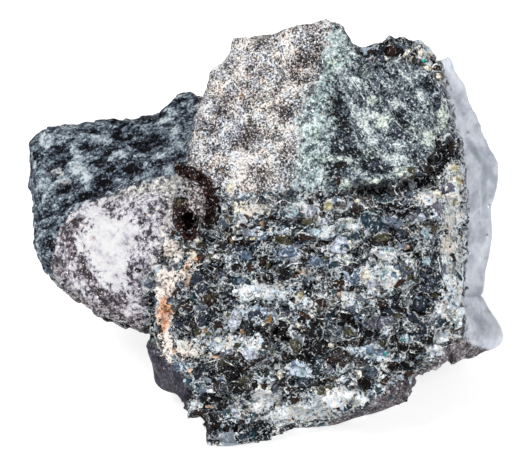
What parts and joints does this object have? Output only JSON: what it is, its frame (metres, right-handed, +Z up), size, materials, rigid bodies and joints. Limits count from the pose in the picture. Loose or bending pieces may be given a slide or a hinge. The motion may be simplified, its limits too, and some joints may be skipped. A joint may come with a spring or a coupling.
{
  "type": "zinc ore specimen",
  "caption": "Broken hand specimen of coarse zinc ore: dark angular grains on the front, a pale granular crown, a white lobe and dark wing at the left, a grey slab behind, on a flat foot.",
  "frame": {"origin": "centre of the outline on the surface that the stone stands on", "axes": "+X along the stone's longest side, to the right in the front view; +Y away from the viewer; +Z up from the flat foot"},
  "size_m": [0.0736, 0.0536, 0.057],
  "materials": {
    "dark_ore": "broken stone with glossy dark grains",
    "pale_rock": "matt, granular pale stone",
    "crystal": "glossy crystal faces"
  },
  "bodies": {
    "root": {"zinc_ore": "dark_ore"}
  },
  "joints": []
}
